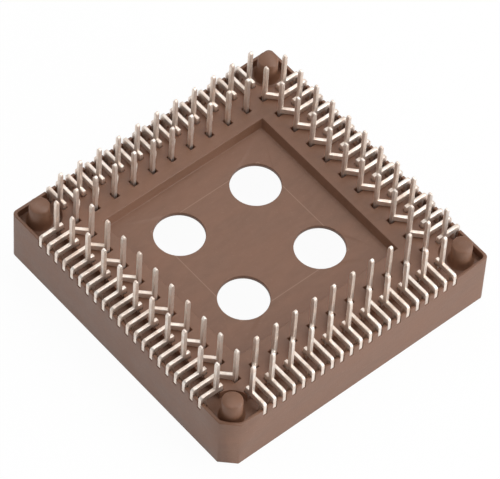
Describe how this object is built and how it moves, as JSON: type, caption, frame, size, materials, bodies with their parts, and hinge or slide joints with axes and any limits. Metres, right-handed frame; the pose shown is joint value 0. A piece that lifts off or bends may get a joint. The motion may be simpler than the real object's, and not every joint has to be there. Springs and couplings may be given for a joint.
{
  "type": "ic socket",
  "caption": "Square through-hole socket for a leaded chip carrier, with a moulded housing, standoffs and formed contacts in two staggered rows of solder pins.",
  "frame": {"origin": "middle of the rim of the chip cavity, which is the face it lies on, under the centre of the square", "axes": "+Z towards the solder pins, X and Y along the sides of the housing; the bevelled outer corner and the keyed corner of the cavity are at +X -Y"},
  "size_m": [0.0348, 0.0348, 0.012],
  "materials": {
    "housing": "moulded brown engineering plastic, satin",
    "contacts": "tin-plated phosphor bronze, satin"
  },
  "bodies": {
    "root": {"housing": "housing", "front_contacts_01": "contacts", "front_contacts_02": "contacts", "front_contacts_03": "contacts", "front_contacts_04": "contacts", "front_contacts_05": "contacts", "front_contacts_06": "contacts", "front_contacts_07": "contacts", "front_contacts_08": "contacts", "front_contacts_09": "contacts", "front_contacts_10": "contacts", "front_contacts_11": "contacts", "right_contacts_01": "contacts", "right_contacts_02": "contacts", "right_contacts_03": "contacts", "right_contacts_04": "contacts", "right_contacts_05": "contacts", "right_contacts_06": "contacts", "right_contacts_07": "contacts", "right_contacts_08": "contacts", "right_contacts_09": "contacts", "right_contacts_10": "contacts", "right_contacts_11": "contacts", "back_contacts_01": "contacts", "back_contacts_02": "contacts", "back_contacts_03": "contacts", "back_contacts_04": "contacts", "back_contacts_05": "contacts", "back_contacts_06": "contacts", "back_contacts_07": "contacts", "back_contacts_08": "contacts", "back_contacts_09": "contacts", "back_contacts_10": "contacts", "back_contacts_11": "contacts", "left_contacts_01": "contacts", "left_contacts_02": "contacts", "left_contacts_03": "contacts", "left_contacts_04": "contacts", "left_contacts_05": "contacts", "left_contacts_06": "contacts", "left_contacts_07": "contacts", "left_contacts_08": "contacts", "left_contacts_09": "contacts", "left_contacts_10": "contacts", "left_contacts_11": "contacts"}
  },
  "joints": []
}
